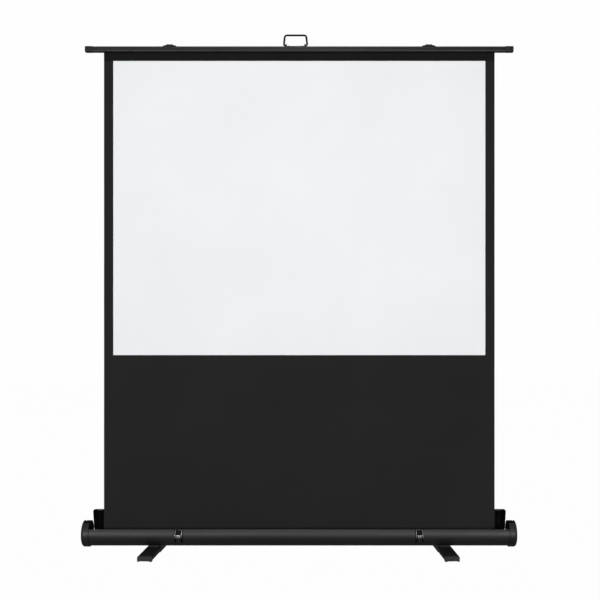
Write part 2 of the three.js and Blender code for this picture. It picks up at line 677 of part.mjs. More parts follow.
function carryHandle() {
  const foot = HANDLE_BASE / 2;
  const stub = LUG_OUTER - LUG_THICKNESS;
  const shoulder = HANDLE_TOP / 2;
  const outline = [
    [-stub, 0], [-foot, 0], [-shoulder, HANDLE_HEIGHT], [shoulder, HANDLE_HEIGHT], [foot, 0], [stub, 0],
  ];
  const points = outline.map(([x, z]) => new THREE.Vector3(x, 0, z));
  const feet = HANDLE_WIRE_RADIUS + FIT;
  const path = new THREE.CurvePath();
  const leftFoot = roundedPath(points.slice(0, 3), feet).curves;
  const top = roundedPath(points.slice(1, 5), HANDLE_CORNER).curves;
  const rightFoot = roundedPath(points.slice(3, 6), feet).curves;
  const leftLeg = new THREE.LineCurve3(leftFoot[1].v2, top[0].v2);
  const rightLeg = new THREE.LineCurve3(top[4].v1, rightFoot[1].v0);
  [leftFoot[0], leftFoot[1], leftLeg, top[1], top[2], top[3], rightLeg, rightFoot[1], rightFoot[2]]
    .forEach((piece) => path.add(piece));
  return wire(path, HANDLE_WIRE_RADIUS, HANDLE_STEPS);
}

// Lid: a half-round cover on the hinge bead, drawn shut about the case axis and then swung open
function lidShell() {
  const bead = circle(HINGE_BEAD_RADIUS, HINGE_Y, -HINGE_DROP);
  const inner = CASE_RADIUS - LID_WALL;
  const [wallY, wallZ] = polar(CASE_RADIUS - LID_WALL / 2, LID_REAR_ANGLE);
  const lean = Math.atan2(wallZ + HINGE_DROP, wallY - HINGE_Y);
  const across = new THREE.Vector2(-Math.sin(lean), Math.cos(lean)).multiplyScalar(HINGE_NECK / 2);
  const neck = new THREE.Shape([
    new THREE.Vector2(HINGE_Y - across.x, -HINGE_DROP - across.y),
    new THREE.Vector2(wallY - across.x, wallZ - across.y),
    new THREE.Vector2(wallY + across.x, wallZ + across.y),
    new THREE.Vector2(HINGE_Y + across.x, -HINGE_DROP + across.y),
  ]);
  const lipFrom = LID_FRONT_ANGLE - CASE_LIP_ANGLE;
  return join(
    alongX(ringSector(inner, CASE_RADIUS, LID_REAR_ANGLE, LID_FRONT_ANGLE), -LID_HALF, LID_HALF, LARGE_ARC),
    alongX(ringSector(CASE_RADIUS - CASE_LIP_DEPTH, CASE_RADIUS, lipFrom, LID_FRONT_ANGLE),
      -LID_HALF, LID_HALF, 1),
    alongX(neck, -LID_HALF, LID_HALF),
    alongX(bead, -LID_HALF, LID_HALF),
  );
}

function lidEnd() {
  const from = LID_HALF + FIT;
  const to = from + LID_END_LENGTH;
  const inner = CASE_RADIUS - LID_END_WALL;
  const inside = shoulder(inner, to - LID_END_WALL, LID_END_ROUNDING - LID_END_WALL).reverse();
  const outside = shoulder(CASE_RADIUS, to, LID_END_ROUNDING);
  const cup = aboutX([[0, to - LID_END_WALL], ...inside, [inner, from], [CASE_RADIUS, from], ...outside, [0, to]]);
  const middle = (LID_FRONT_ANGLE + LID_REAR_ANGLE) / 2;
  const [chord] = polar(CASE_RADIUS, LID_FRONT_ANGLE - middle);
  const reach = CASE_RADIUS + LID_END_WALL;
  const below = box(from - FIT, to + FIT, -reach, chord, -reach, reach).rotateX(rad(middle));
  return cut(cup, below);
}

function lidKeeper(side) {
  const seat = CASE_RADIUS + FIT;
  const from = LID_FRONT_ANGLE - KEEPER_SPAN_ANGLE;
  const half = KEEPER_WIDTH / 2;
  const plate = ringSector(seat, seat + KEEPER_THICKNESS, from, LID_FRONT_ANGLE);
  const hook = ringSector(seat, seat + KEEPER_THICKNESS + KEEPER_HOOK, from, from + KEEPER_SPAN_ANGLE / 4);
  return join(alongX(plate, -half, half, CORNER_ARC), alongX(hook, -half, half, 1))
    .translate(side * LATCH_X, 0, 0);
}

// Draw latch: base with two ears, lever on a pin between them, wire loop on the lever
const LATCH_SEAT = CASE_RADIUS + FIT;
const LATCH_FACE = LATCH_SEAT + LATCH_BASE_THICKNESS;
const LEVER_PIVOT = polar(LATCH_FACE + LEVER_PIVOT_OUT, LEVER_PIVOT_ANGLE);
const LOOP_PIVOT = polar(LATCH_FACE + LOOP_PIVOT_OUT, LOOP_PIVOT_ANGLE);
const EAR_INNER = LEVER_WIDTH / 2 + FIT;
const EAR_OUTER = EAR_INNER + LATCH_EAR;

function latchBase() {
  const half = LATCH_WIDTH / 2;
  const [pivotY, pivotZ] = LEVER_PIVOT;
  const ear = ringSector(LATCH_SEAT, LATCH_FACE + LEVER_PIVOT_OUT, LEVER_PIVOT_ANGLE - LATCH_EAR_ANGLE,
    LEVER_PIVOT_ANGLE + LATCH_EAR_ANGLE);
  const eye = circle(LATCH_EAR_RADIUS, pivotY, pivotZ);
  const parts = [alongX(ringSector(LATCH_SEAT, LATCH_FACE, LATCH_FROM_ANGLE, LATCH_TO_ANGLE), -half, half, SMALL_ARC)];
  [[EAR_INNER, EAR_OUTER], [-EAR_OUTER, -EAR_INNER]].forEach(([from, to]) => {
    parts.push(alongX(ear, from, to, 2), alongX(eye, from, to));
  });
  const pinBore = circle(LEVER_BARREL_RADIUS / 2 + HOLE_PLAY, pivotY, pivotZ);
  return cut(join(...parts), alongX(pinBore, -half, half)).translate(0, 0, CASE_AXIS_Z);
}

function latchLever() {
  const half = LEVER_WIDTH / 2;
  const [pivotY, pivotZ] = LEVER_PIVOT;
  const middle = LATCH_FACE + LEVER_PIVOT_OUT;
  const plate = ringSector(middle - LEVER_THICKNESS / 2, middle + LEVER_THICKNESS / 2,
    LEVER_PIVOT_ANGLE, LEVER_TO_ANGLE);
  const lever = join(
    alongX(plate, -half, half, CORNER_ARC),
    alongX(circle(LEVER_BARREL_RADIUS, pivotY, pivotZ), -half, half),
    alongX(circle(LEVER_BARREL_RADIUS / 2, pivotY, pivotZ), -EAR_OUTER, EAR_OUTER),
    alongX(circle(LOOP_WIRE_RADIUS + 2 * HOLE_PLAY + FIT, ...LOOP_PIVOT), -half, half),
  );
  const bore = alongX(circle(LOOP_WIRE_RADIUS + HOLE_PLAY, ...LOOP_PIVOT), -LATCH_WIDTH, LATCH_WIDTH);
  return cut(lever, bore).translate(0, 0, CASE_AXIS_Z);
}

function latchLoop() {
  const [pivotY, pivotZ] = LOOP_PIVOT;
  const [topY, topZ] = polar(LATCH_FACE + LOOP_TOP_OUT, LOOP_TOP_ANGLE);
  const inner = LEVER_WIDTH / 4;
  const outline = [
    [-inner, pivotY, pivotZ], [-LOOP_SIDE, pivotY, pivotZ], [-LOOP_SIDE, topY, topZ],
    [LOOP_SIDE, topY, topZ], [LOOP_SIDE, pivotY, pivotZ], [inner, pivotY, pivotZ],
  ];
  const points = outline.map(([x, y, z]) => new THREE.Vector3(x, y, z));
  return wire(roundedPath(points, LOOP_CORNER), LOOP_WIRE_RADIUS, LOOP_STEPS, 6)
    .translate(0, 0, CASE_AXIS_Z);
}

// Foot: an inverted channel on a swivel bolt, with a plug at each end and a shoe under the middle
function footSaddle() {
  const seat = CASE_RADIUS + FIT;
  const half = SADDLE_DEPTH / 2;
  const bottom = FOOT_HEIGHT + SWIVEL_GAP - CASE_AXIS_Z;
  const shape = new THREE.Shape();
  shape.moveTo(-half, bottom);
  shape.lineTo(half, bottom);
  shape.absarc(0, 0, seat, -Math.acos(half / seat), -Math.PI + Math.acos(half / seat), true);
  const block = alongX(shape, -SADDLE_LENGTH / 2, SADDLE_LENGTH / 2, LARGE_ARC / 2);
  const hole = alongZ(circle(BOLT_RADIUS + HOLE_PLAY), bottom - FIT, 0);
  return cut(block, hole).translate(0, 0, CASE_AXIS_Z);
}

function footBolt() {
  const headTop = FOOT_HEIGHT - FOOT_WALL - FIT;
  const shankTop = CASE_AXIS_Z - CASE_BORE;
  return join(
    alongZ(circle(BOLT_HEAD_RADIUS), headTop - BOLT_HEAD, headTop),
    alongZ(circle(BOLT_RADIUS), headTop - BOLT_HEAD, shankTop),
  );
}

function footBar() {
  const half = FOOT_WIDTH / 2;
  const inner = half - FOOT_WALL;
  const lip = half - FOOT_LIP;
  const lipTop = FOOT_LIFT + FOOT_LIP_HEIGHT;
  const web = FOOT_HEIGHT - FOOT_WALL;
  const shape = new THREE.Shape();
  shape.absarc(half - FOOT_ROUNDING, FOOT_HEIGHT - FOOT_ROUNDING, FOOT_ROUNDING, 0, Math.PI / 2, false);
  shape.absarc(FOOT_ROUNDING - half, FOOT_HEIGHT - FOOT_ROUNDING, FOOT_ROUNDING, Math.PI / 2, Math.PI, false);
  const inside = [
    [-half, FOOT_LIFT], [-lip, FOOT_LIFT], [-lip, lipTop], [-inner, lipTop], [-inner, web],
    [inner, web], [inner, lipTop], [lip, lipTop], [lip, FOOT_LIFT], [half, FOOT_LIFT],
  ];
  inside.forEach(([x, z]) => shape.lineTo(x, z));
  const reach = FOOT_LENGTH / 2 - FOOT_PLUG_LENGTH - FIT;
  const hole = alongZ(circle(BOLT_RADIUS + HOLE_PLAY), web - FIT, FOOT_HEIGHT + FIT);
  return cut(alongY(shape, -reach, reach, CORNER_ARC), hole);
}

function footPlug(end) {
  const half = FOOT_WIDTH / 2;
  const far = FOOT_LENGTH / 2;
  const near = far - FOOT_PLUG_LENGTH;
  const [from, to] = end > 0 ? [near, far] : [-far, -near];
  const body = roundedRect(-half, half, FOOT_LIFT - FOOT_PAD_ROUNDING, FOOT_HEIGHT, FOOT_ROUNDING);
  const rightPad = roundedRect(half - FOOT_PAD_WIDTH, half, 0, FOOT_HEIGHT / 2, FOOT_PAD_ROUNDING);
  const leftPad = roundedRect(-half, FOOT_PAD_WIDTH - half, 0, FOOT_HEIGHT / 2, FOOT_PAD_ROUNDING);
  return join(...[body, rightPad, leftPad].map((shape) => alongY(shape, from, to, CORNER_ARC)));
}

function footShoe() {
  const half = SHOE_WIDTH / 2;
  const shape = roundedRect(-half, half, SHOE_FRONT, SHOE_REAR, FOOT_PAD_ROUNDING);
  return alongZ(shape, 0, FOOT_LIFT - FIT, CORNER_ARC);
}

// Assembly
const screen = new THREE.Group();

function add(name, geometry, material, parent = screen) {
  const mesh = new THREE.Mesh(geometry, material);
  mesh.name = name;
  parent.add(mesh);
  return mesh;
}

const SIDES = [['left', -1], ['right', 1]];

function eachSide(make) {
  SIDES.forEach(([label, side]) => make(label, side));
}

add('case_body', caseBody(), SATIN_GREY);
const endCap = caseEndCap();
add('case_end_cap_left', mirrorX(endCap), SATIN_GREY);
add('case_end_cap_right', endCap, SATIN_GREY);

const arborSquare = JOURNAL_RADIUS + FIT;
const squareHole = roundedRect(ROLLER_Y - arborSquare, ROLLER_Y + arborSquare,
  -ROLLER_DROP - arborSquare, -ROLLER_DROP + arborSquare, FIT);
add('roller_bracket_left', mirrorX(rollerBracket(journalHole(), SMALL_ARC)), BLACK_PLASTIC);
add('roller_bracket_right', rollerBracket(squareHole, 1), BLACK_PLASTIC);

const roller = new THREE.Group();
roller.position.set(0, ROLLER_Y, ROLLER_Z);
screen.add(roller);
const tube = ring(ROLLER_RADIUS - ROLLER_WALL, ROLLER_RADIUS);
add('roller_tube', alongX(tube, -ROLLER_HALF, ROLLER_HALF, LARGE_ARC / 2), DARK_ALUMINIUM, roller);
add('roller_idle_plug', mirrorX(idlePlug()), BLACK_PLASTIC, roller);
add('roller_spring_plug', springPlug(), BLACK_PLASTIC, roller);
const anchorFrom = SPRING_LEFT_X - ANCHOR_LENGTH - SPRING_WIRE_RADIUS - FIT;
add('spring_anchor', alongX(circle(PLUG_RADIUS), anchorFrom, anchorFrom + ANCHOR_LENGTH), BLACK_PLASTIC, roller);
add('roller_spring', rollerSpring(), STEEL, roller);
const arborRadius = JOURNAL_RADIUS;
const arbor = join(
  alongX(circle(arborRadius), SPRING_LEFT_X, BRACKET_X),
  alongX(roundedRect(-arborRadius, arborRadius, -arborRadius, arborRadius, FIT), BRACKET_X, BRACKET_END_X, 1),
);
add('spring_arbor', arbor, STEEL, roller);
const wraps = ring(ROLLER_RADIUS + FIT, ROLL_RADIUS);
add('fabric_roll', alongX(wraps, -FABRIC_HALF_WIDTH, FABRIC_HALF_WIDTH, LARGE_ARC / 2), BLACK_FABRIC, roller);

const fabricBack = FABRIC_FRONT_Y + FABRIC_THICKNESS;
add('screen_fabric', box(-FABRIC_HALF_WIDTH, FABRIC_HALF_WIDTH, FABRIC_FRONT_Y, fabricBack,
  ROLLER_Z, FABRIC_TOP_Z), BLACK_FABRIC);
add('viewing_surface', box(-IMAGE_WIDTH / 2, IMAGE_WIDTH / 2, FABRIC_FRONT_Y - COATING_THICKNESS,
  FABRIC_FRONT_Y, IMAGE_BOTTOM_Z, IMAGE_TOP_Z), WHITE_FABRIC);

add('arm_channel_lower', lowerChannel(), DARK_ALUMINIUM);
add('arm_channel_upper', upperChannel(), DARK_ALUMINIUM);
add('pivot_pin_lower', channelPin(PIVOT_X, LOWER_PIVOT_Z), STEEL);
add('pivot_pin_upper', channelPin(PIVOT_X, UPPER_PIVOT_Z), STEEL);
add('slide_pin_lower', channelPin(SLIDE_RAISED_X, LOWER_PIVOT_Z), STEEL);
add('slide_pin_upper', channelPin(SLIDE_RAISED_X, UPPER_PIVOT_Z), STEEL);
add('elbow_pin_left', armPin(PIVOT_X, MIDDLE_PIVOT_Z), STEEL);
add('elbow_pin_right', armPin(SLIDE_RAISED_X, MIDDLE_PIVOT_Z), STEEL);
add('cross_pin_lower', armPin(CROSS_X, LOWER_PIVOT_Z + CELL_RISE / 2), STEEL);
add('cross_pin_upper', armPin(CROSS_X, MIDDLE_PIVOT_Z + CELL_RISE / 2), STEEL);

// Rising arms run from the left pivot up to the right, falling arms from the left pivot down to it.
[
  ['arm_lower_front', frontArm, FRONT_ARM_Y, LOWER_PIVOT_Z, -ARM_ANGLE],
  ['arm_lower_rear', rearArm, REAR_ARM_Y, MIDDLE_PIVOT_Z, ARM_ANGLE],
  ['arm_upper_front', frontArm, FRONT_ARM_Y, MIDDLE_PIVOT_Z, -ARM_ANGLE],
  ['arm_upper_rear', rearArm, REAR_ARM_Y, UPPER_PIVOT_Z, ARM_ANGLE],
].forEach(([name, make, y, z, turn]) => {
  const mesh = add(name, make(), DARK_ALUMINIUM);
  mesh.position.set(PIVOT_X, y, z);
  mesh.rotation.y = turn;
});

add('top_bar', topBar(), BAR_GREY);
const tip = barTip();
add('bar_tip_left', mirrorX(tip), BAR_GREY);
add('bar_tip_right', tip, BAR_GREY);
const hemRod = circle(HEM_ROD_RADIUS, BAR_Y + HEM_BORE_Y, BAR_Z + HEM_BORE_Z);
add('hem_rod', alongX(hemRod, -FABRIC_HALF_WIDTH, FABRIC_HALF_WIDTH), STEEL);
add('handle_bracket', handleBracket(), BLACK_PLASTIC);
const handle = add('carry_handle', carryHandle(), DARK_ALUMINIUM);
handle.position.set(HANDLE_X, BAR_Y, HANDLE_PIVOT_Z);

const lid = new THREE.Group();
lid.position.set(0, HINGE_Y, CASE_AXIS_Z - HINGE_DROP);
lid.rotation.x = -rad(LID_OPEN_ANGLE);
screen.add(lid);
const shutLid = new THREE.Group();
shutLid.position.set(0, -HINGE_Y, HINGE_DROP);
lid.add(shutLid);
add('lid', lidShell(), SATIN_GREY, shutLid);
const trim = lidEnd();
add('lid_end_left', mirrorX(trim), BLACK_PLASTIC, shutLid);
add('lid_end_right', trim, BLACK_PLASTIC, shutLid);

eachSide((label, side) => {
  add(`bar_bumper_${label}`, barBumper(side), GREY_PLASTIC);
  add(`lid_keeper_${label}`, lidKeeper(side), STEEL, shutLid);

  const latch = new THREE.Group();
  latch.position.x = side * LATCH_X;
  screen.add(latch);
  add(`latch_base_${label}`, latchBase(), BLACK_PLASTIC, latch);
  add(`latch_lever_${label}`, latchLever(), CHROME, latch);
  add(`latch_loop_${label}`, latchLoop(), CHROME, latch);

  const foot = new THREE.Group();
  foot.position.x = side * FOOT_X;
  screen.add(foot);
  add(`foot_saddle_${label}`, footSaddle(), BLACK_PLASTIC, foot);
  add(`foot_bolt_${label}`, footBolt(), STEEL, foot);
  const swivel = new THREE.Group();
  swivel.rotation.z = side * rad(FOOT_SPLAY_ANGLE);
  foot.add(swivel);
  add(`foot_bar_${label}`, footBar(), SATIN_GREY, swivel);
  add(`foot_plug_front_${label}`, footPlug(-1), GREY_PLASTIC, swivel);
  add(`foot_plug_rear_${label}`, footPlug(1), GREY_PLASTIC, swivel);
  add(`foot_shoe_${label}`, footShoe(), RUBBER, swivel);
});

export default screen;
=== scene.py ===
import json

import bmesh
import bpy
from math import cos, pi, radians, sin
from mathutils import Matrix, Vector


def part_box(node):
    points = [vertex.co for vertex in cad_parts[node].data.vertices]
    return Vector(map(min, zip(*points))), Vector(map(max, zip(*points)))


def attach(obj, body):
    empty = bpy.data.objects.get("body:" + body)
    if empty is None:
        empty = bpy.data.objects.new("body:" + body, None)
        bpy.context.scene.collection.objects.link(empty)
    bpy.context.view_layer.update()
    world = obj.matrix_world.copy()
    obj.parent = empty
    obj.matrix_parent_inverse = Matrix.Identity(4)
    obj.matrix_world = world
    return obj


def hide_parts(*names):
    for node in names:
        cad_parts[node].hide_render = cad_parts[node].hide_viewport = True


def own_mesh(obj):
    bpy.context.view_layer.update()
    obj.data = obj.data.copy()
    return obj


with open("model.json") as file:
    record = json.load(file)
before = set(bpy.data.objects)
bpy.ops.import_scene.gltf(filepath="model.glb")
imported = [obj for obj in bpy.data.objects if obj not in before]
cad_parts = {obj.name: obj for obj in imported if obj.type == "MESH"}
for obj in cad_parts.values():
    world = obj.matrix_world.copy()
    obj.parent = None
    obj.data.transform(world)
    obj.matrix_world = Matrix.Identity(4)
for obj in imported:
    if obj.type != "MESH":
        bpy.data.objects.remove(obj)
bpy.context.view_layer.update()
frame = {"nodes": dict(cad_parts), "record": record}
scene = bpy.context.scene
scene.view_settings.view_transform = "Standard"

# The photograph's view: a camera square to the fabric, about four metres off, a little right of
# the middle and half way up, with the lens axis about 20 pixels off the picture's centre.
CAMERA_PLACE = (0.089, -4.1525, 1.0973)
SENSOR_MM, LENS_MM = 36, 57.9
LENS_SHIFT_X, LENS_SHIFT_Y = -0.0333, -0.0067
camera = bpy.data.objects.new("camera", bpy.data.cameras.new("camera"))
scene.collection.objects.link(camera)
camera.location = CAMERA_PLACE
camera.rotation_euler = (pi / 2, 0, 0)
camera.data.sensor_width = SENSOR_MM
camera.data.lens = LENS_MM
camera.data.shift_x = LENS_SHIFT_X
camera.data.shift_y = LENS_SHIFT_Y
scene.camera = camera


# Feet: bent steel channels with a powder coat, on a swivel bolt under a moulded saddle. Each has a
# moulded plug in both ends and a rubber shoe under the middle that takes the weight.
def node_group(name, inputs, outputs, kind="ShaderNodeTree"):
    tree = bpy.data.node_groups.new(name, kind)
    for label, socket_kind, value in inputs:
        socket = tree.interface.new_socket(label, in_out="INPUT", socket_type=socket_kind)
        if value is not None:
            socket.default_value = value
    for label, socket_kind in outputs:
        tree.interface.new_socket(label, in_out="OUTPUT", socket_type=socket_kind)
    return tree, tree.nodes.new("NodeGroupInput"), tree.nodes.new("NodeGroupOutput")


def feed(tree, socket, value):
    if isinstance(value, bpy.types.NodeSocket):
        tree.links.new(value, socket)
    else:
        socket.default_value = value


def math_node(tree, operation, *values):
    node = tree.nodes.new("ShaderNodeMath")
    node.operation = operation
    for socket, value in zip(node.inputs, values):
        feed(tree, socket, value)
    return node.outputs[0]


def noise(tree, vector, scale, detail, rough):
    node = tree.nodes.new("ShaderNodeTexNoise")
    tree.links.new(vector, node.inputs["Vector"])
    feed(tree, node.inputs["Scale"], scale)
    node.inputs["Detail"].default_value = detail
    node.inputs["Roughness"].default_value = rough
    return node.outputs["Fac"]


def ramp(tree, value, low, high):
    node = tree.nodes.new("ShaderNodeMapRange")
    tree.links.new(value, node.inputs["Value"])
    node.inputs["From Min"].default_value = low
    node.inputs["From Max"].default_value = high
    return node.outputs["Result"]


# grain: the fine pebble of a coat or a moulding, with the soft patches that handling leaves.
FLECK_SCALE = 310.0
grain, g_in, g_out = node_group(
    "grain",
    [("Vector", "NodeSocketVector", None), ("Pebble Scale", "NodeSocketFloat", 900.0),
     ("Patch Scale", "NodeSocketFloat", 7.0)],
    [("Pebble", "NodeSocketFloat"), ("Patch", "NodeSocketFloat"), ("Fleck", "NodeSocketFloat")],
)
pebble = noise(grain, g_in.outputs["Vector"], g_in.outputs["Pebble Scale"], detail=3.0, rough=0.6)
patch = noise(grain, g_in.outputs["Vector"], g_in.outputs["Patch Scale"], detail=4.0, rough=0.62)
fleck = noise(grain, g_in.outputs["Vector"], FLECK_SCALE, detail=1.0, rough=0.4)
grain.links.new(pebble, g_out.inputs["Pebble"])
grain.links.new(ramp(grain, patch, low=0.36, high=0.66), g_out.inputs["Patch"])
grain.links.new(ramp(grain, fleck, low=0.66, high=0.74), g_out.inputs["Fleck"])


def bare_material(name):
    material = bpy.data.materials.new(name)
    material.use_nodes = True
    tree = material.node_tree
    coords = tree.nodes.new("ShaderNodeTexCoord").outputs["Object"]
    return material, tree, tree.nodes["Principled BSDF"], coords


def mix_colour(tree, factor, first, second):
    node = tree.nodes.new("ShaderNodeMix")
    node.data_type = "RGBA"
    feed(tree, node.inputs["Factor"], factor)
    for socket, value in ((node.inputs["A"], first), (node.inputs["B"], second)):
        feed(tree, socket, value if isinstance(value, bpy.types.NodeSocket) else (*value, 1))
    return node.outputs["Result"]


def vary_roughness(tree, shader, mask, low, swing):
    swung = math_node(tree, "MULTIPLY", mask, swing)
    tree.links.new(math_node(tree, "ADD", swung, low), shader.inputs["Roughness"])


def bump(tree, shader, height, strength, distance):
    node = tree.nodes.new("ShaderNodeBump")
    node.inputs["Strength"].default_value = strength
    node.inputs["Distance"].default_value = distance
    tree.links.new(height, node.inputs["Height"])
    tree.links.new(node.outputs["Normal"], shader.inputs["Normal"])


def place_group(tree, group, coords, **values):
    node = tree.nodes.new("ShaderNodeGroup")
    node.node_tree = group
    tree.links.new(coords, node.inputs["Vector"])
    for label, value in values.items():
        node.inputs[label.replace("_", " ")].default_value = value
    return node.outputs


FLECK_GAIN, FLECK_LIFT, GRAIN_SWING = 1.6, 0.02, 0.12


def grained(name, dark, light, rough, pebble_scale, depth, gloss=0.2, fleck=0.05):
    material, tree, shader, coords = bare_material(name)
    made = place_group(tree, grain, coords, Pebble_Scale=pebble_scale)
    tone = mix_colour(tree, made["Patch"], dark, light)
    bright = tuple(min(1.0, c * FLECK_GAIN + FLECK_LIFT) for c in light)
    speckle = math_node(tree, "MULTIPLY", made["Fleck"], fleck)
    tree.links.new(mix_colour(tree, speckle, tone, bright), shader.inputs["Base Color"])
    vary_roughness(tree, shader, made["Patch"], rough - GRAIN_SWING / 2, GRAIN_SWING)
    shader.inputs["Specular IOR Level"].default_value = gloss
    bump(tree, shader, made["Pebble"], strength=0.35, distance=depth)
    return material


foot_coat = grained("foot_powder_coat", (0.0090, 0.0090, 0.0098), (0.0130, 0.0130, 0.0142),
                    rough=0.48, pebble_scale=1400, depth=0.0002)
foot_moulding = grained("foot_plug_moulding", (0.020, 0.020, 0.0215), (0.027, 0.027, 0.029),
                        rough=0.55, pebble_scale=1700, depth=0.00015)
black_moulding = grained("black_moulding", (0.011, 0.011, 0.012), (0.016, 0.016, 0.017),
                         rough=0.5, pebble_scale=1700, depth=0.00012)
shoe_rubber = grained("shoe_rubber", (0.010, 0.010, 0.010), (0.017, 0.017, 0.016),
                      rough=0.82, pebble_scale=900, depth=0.0003, fleck=0.12)


def body_of(node):
    bodies = frame["record"]["behaviour"]["bodies"]
    return next(body for body, members in bodies.items() if node in members)


def shade(mesh, angle):
    mesh.polygons.foreach_set("use_smooth", [True] * len(mesh.polygons))
    mesh.set_sharp_from_angle(angle=radians(angle))


def add_piece(name, mesh, *materials):
    piece = bpy.data.objects.new(name, mesh)
    scene.collection.objects.link(piece)
    for material in materials:
        piece.data.materials.append(material)
    return piece


def seat(piece, node):
    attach(piece, body_of(node))
    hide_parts(node)
    return piece


MERGE_DISTANCE, FLAT_ANGLE = 2e-6, 0.6


def dress(node, material, edge=0.0005, angle=32, lining=None, inside=None, parting=None):
    mesh = frame["nodes"][node].data.copy()
    mesh.materials.clear()
    shape = bmesh.new()
    shape.from_mesh(mesh)
    bmesh.ops.remove_doubles(shape, verts=shape.verts, dist=MERGE_DISTANCE)
    bmesh.ops.dissolve_limit(shape, angle_limit=radians(FLAT_ANGLE), verts=shape.verts, edges=shape.edges)
    if parting is not None:
        whole = [*shape.verts, *shape.edges, *shape.faces]
        bmesh.ops.bisect_plane(shape, geom=whole, plane_co=(0, 0, parting), plane_no=(0, 0, 1))
    for face in shape.faces:
        face.material_index = 1 if inside and inside(face) else 0
    shape.to_mesh(mesh)
    shape.free()
    shade(mesh, angle)
    piece = add_piece(node + ".finish", mesh, material, *([lining] if lining else []))
    if edge:
        bevel = piece.modifiers.new("edge", "BEVEL")
        bevel.width = edge
        bevel.segments = 2
        bevel.limit_method = "ANGLE"
        bevel.angle_limit = radians(angle)
        bevel.harden_normals = True
    return seat(piece, node)


SIDES = {"left": -1, "right": 1}
for label in SIDES:
    dress(f"foot_bar_{label}", foot_coat)
    dress(f"foot_plug_front_{label}", foot_moulding, edge=0.0008)
    dress(f"foot_plug_rear_{label}", foot_moulding, edge=0.0008)
    dress(f"foot_shoe_{label}", shoe_rubber, edge=0.0008)
    dress(f"foot_saddle_{label}", black_moulding, edge=0.0008)


# Pins, bolts and rivets: turned steel with a dull zinc plate, a little clouded where it has aged.
# The heads show behind the arms and under the feet.
PLATE_SWING = 0.14


def plated(name, dark, light, rough):
    material, tree, shader, coords = bare_material(name)
    made = place_group(tree, grain, coords, Pebble_Scale=600.0, Patch_Scale=90.0)
    tree.links.new(mix_colour(tree, made["Patch"], dark, light), shader.inputs["Base Color"])
    vary_roughness(tree, shader, made["Patch"], rough, PLATE_SWING)
    shader.inputs["Metallic"].default_value = 1.0
    bump(tree, shader, made["Pebble"], strength=0.15, distance=0.00008)
    return material


zinc = plated("zinc_plate", (0.42, 0.43, 0.44), (0.60, 0.61, 0.62), rough=0.30)
for node in ("pivot_pin_lower", "pivot_pin_upper", "slide_pin_lower", "slide_pin_upper", "elbow_pin_left",
             "elbow_pin_right", "cross_pin_lower", "cross_pin_upper", "foot_bolt_left", "foot_bolt_right"):
    dress(node, zinc, edge=0.0004)
for node in ("hem_rod", "spring_arbor", "roller_spring"):
    frame["nodes"][node].data.materials.clear()
    frame["nodes"][node].data.materials.append(zinc)


# Case: an aluminium extrusion with a dark satin coat, drawn along its length, with a lip at the
# front edge and the hinge socket at the rear. The ends carry moulded cups, open on top.

# drawn: the faint lines that an extrusion die leaves along X.
LINE_STRETCH = (1.2, 900, 900)
drawn, d_in, d_out = node_group(
    "drawn",
    [("Vector", "NodeSocketVector", None), ("Line Scale", "NodeSocketFloat", 1.0)],
    [("Lines", "NodeSocketFloat")],
)
stretch = drawn.nodes.new("ShaderNodeMapping")
stretch.inputs["Scale"].default_value = LINE_STRETCH
drawn.links.new(d_in.outputs["Vector"], stretch.inputs["Vector"])
die_lines = noise(drawn, stretch.outputs["Vector"], d_in.outputs["Line Scale"], detail=2.0, rough=0.6)
drawn.links.new(die_lines, d_out.inputs["Lines"])

STREAK_SHARE, PEBBLE_SHARE, LINE_SWING, PATCH_SWING = 0.35, 0.5, 0.12, 0.06


def extruded(name, dark, light, rough, metallic, gloss, line_depth):
    material, tree, shader, coords = bare_material(name)
    made = place_group(tree, grain, coords, Pebble_Scale=1500.0, Patch_Scale=5.0)
    lines = place_group(tree, drawn, coords)["Lines"]
    tone = mix_colour(tree, made["Patch"], dark, light)
    streak = math_node(tree, "MULTIPLY", lines, STREAK_SHARE)
    tree.links.new(mix_colour(tree, streak, tone, light), shader.inputs["Base Color"])
    line_rough = math_node(tree, "MULTIPLY", lines, LINE_SWING)
    patch_rough = math_node(tree, "MULTIPLY", made["Patch"], PATCH_SWING)
    low = rough - (LINE_SWING + PATCH_SWING) / 2
    total = math_node(tree, "ADD", math_node(tree, "ADD", line_rough, patch_rough), low)
    tree.links.new(total, shader.inputs["Roughness"])
    shader.inputs["Metallic"].default_value = metallic
    shader.inputs["Specular IOR Level"].default_value = gloss
    relief = math_node(tree, "ADD", math_node(tree, "MULTIPLY", made["Pebble"], PEBBLE_SHARE), lines)
    bump(tree, shader, relief, strength=0.3, distance=line_depth)
    return material


case_coat = extruded("case_satin_coat", (0.0050, 0.0050, 0.0056), (0.0066, 0.0066, 0.0074),
                     rough=0.49, metallic=0.0, gloss=0.46, line_depth=0.0001)
cap_moulding = grained("cap_moulding", (0.0050, 0.0050, 0.0056), (0.0066, 0.0066, 0.0074),
                       rough=0.46, pebble_scale=1600, depth=0.00012, gloss=0.42)
dress("case_body", case_coat, edge=0.0004, angle=20)


def settle(piece):
    bpy.context.view_layer.update()
    made = bpy.data.meshes.new_from_object(piece.evaluated_get(bpy.context.evaluated_depsgraph_get()))
    piece.modifiers.clear()
    piece.data = made


def cut_piece(name, mesh, tool_mesh, material):
    piece = add_piece(name, mesh, material)
    tool = add_piece(name + "_cutter", tool_mesh)
    cut = piece.modifiers.new("cut", "BOOLEAN")
    cut.operation = "DIFFERENCE"
    cut.solver = "EXACT"
    cut.object = tool
    settle(piece)
    bpy.data.objects.remove(tool)
    return piece


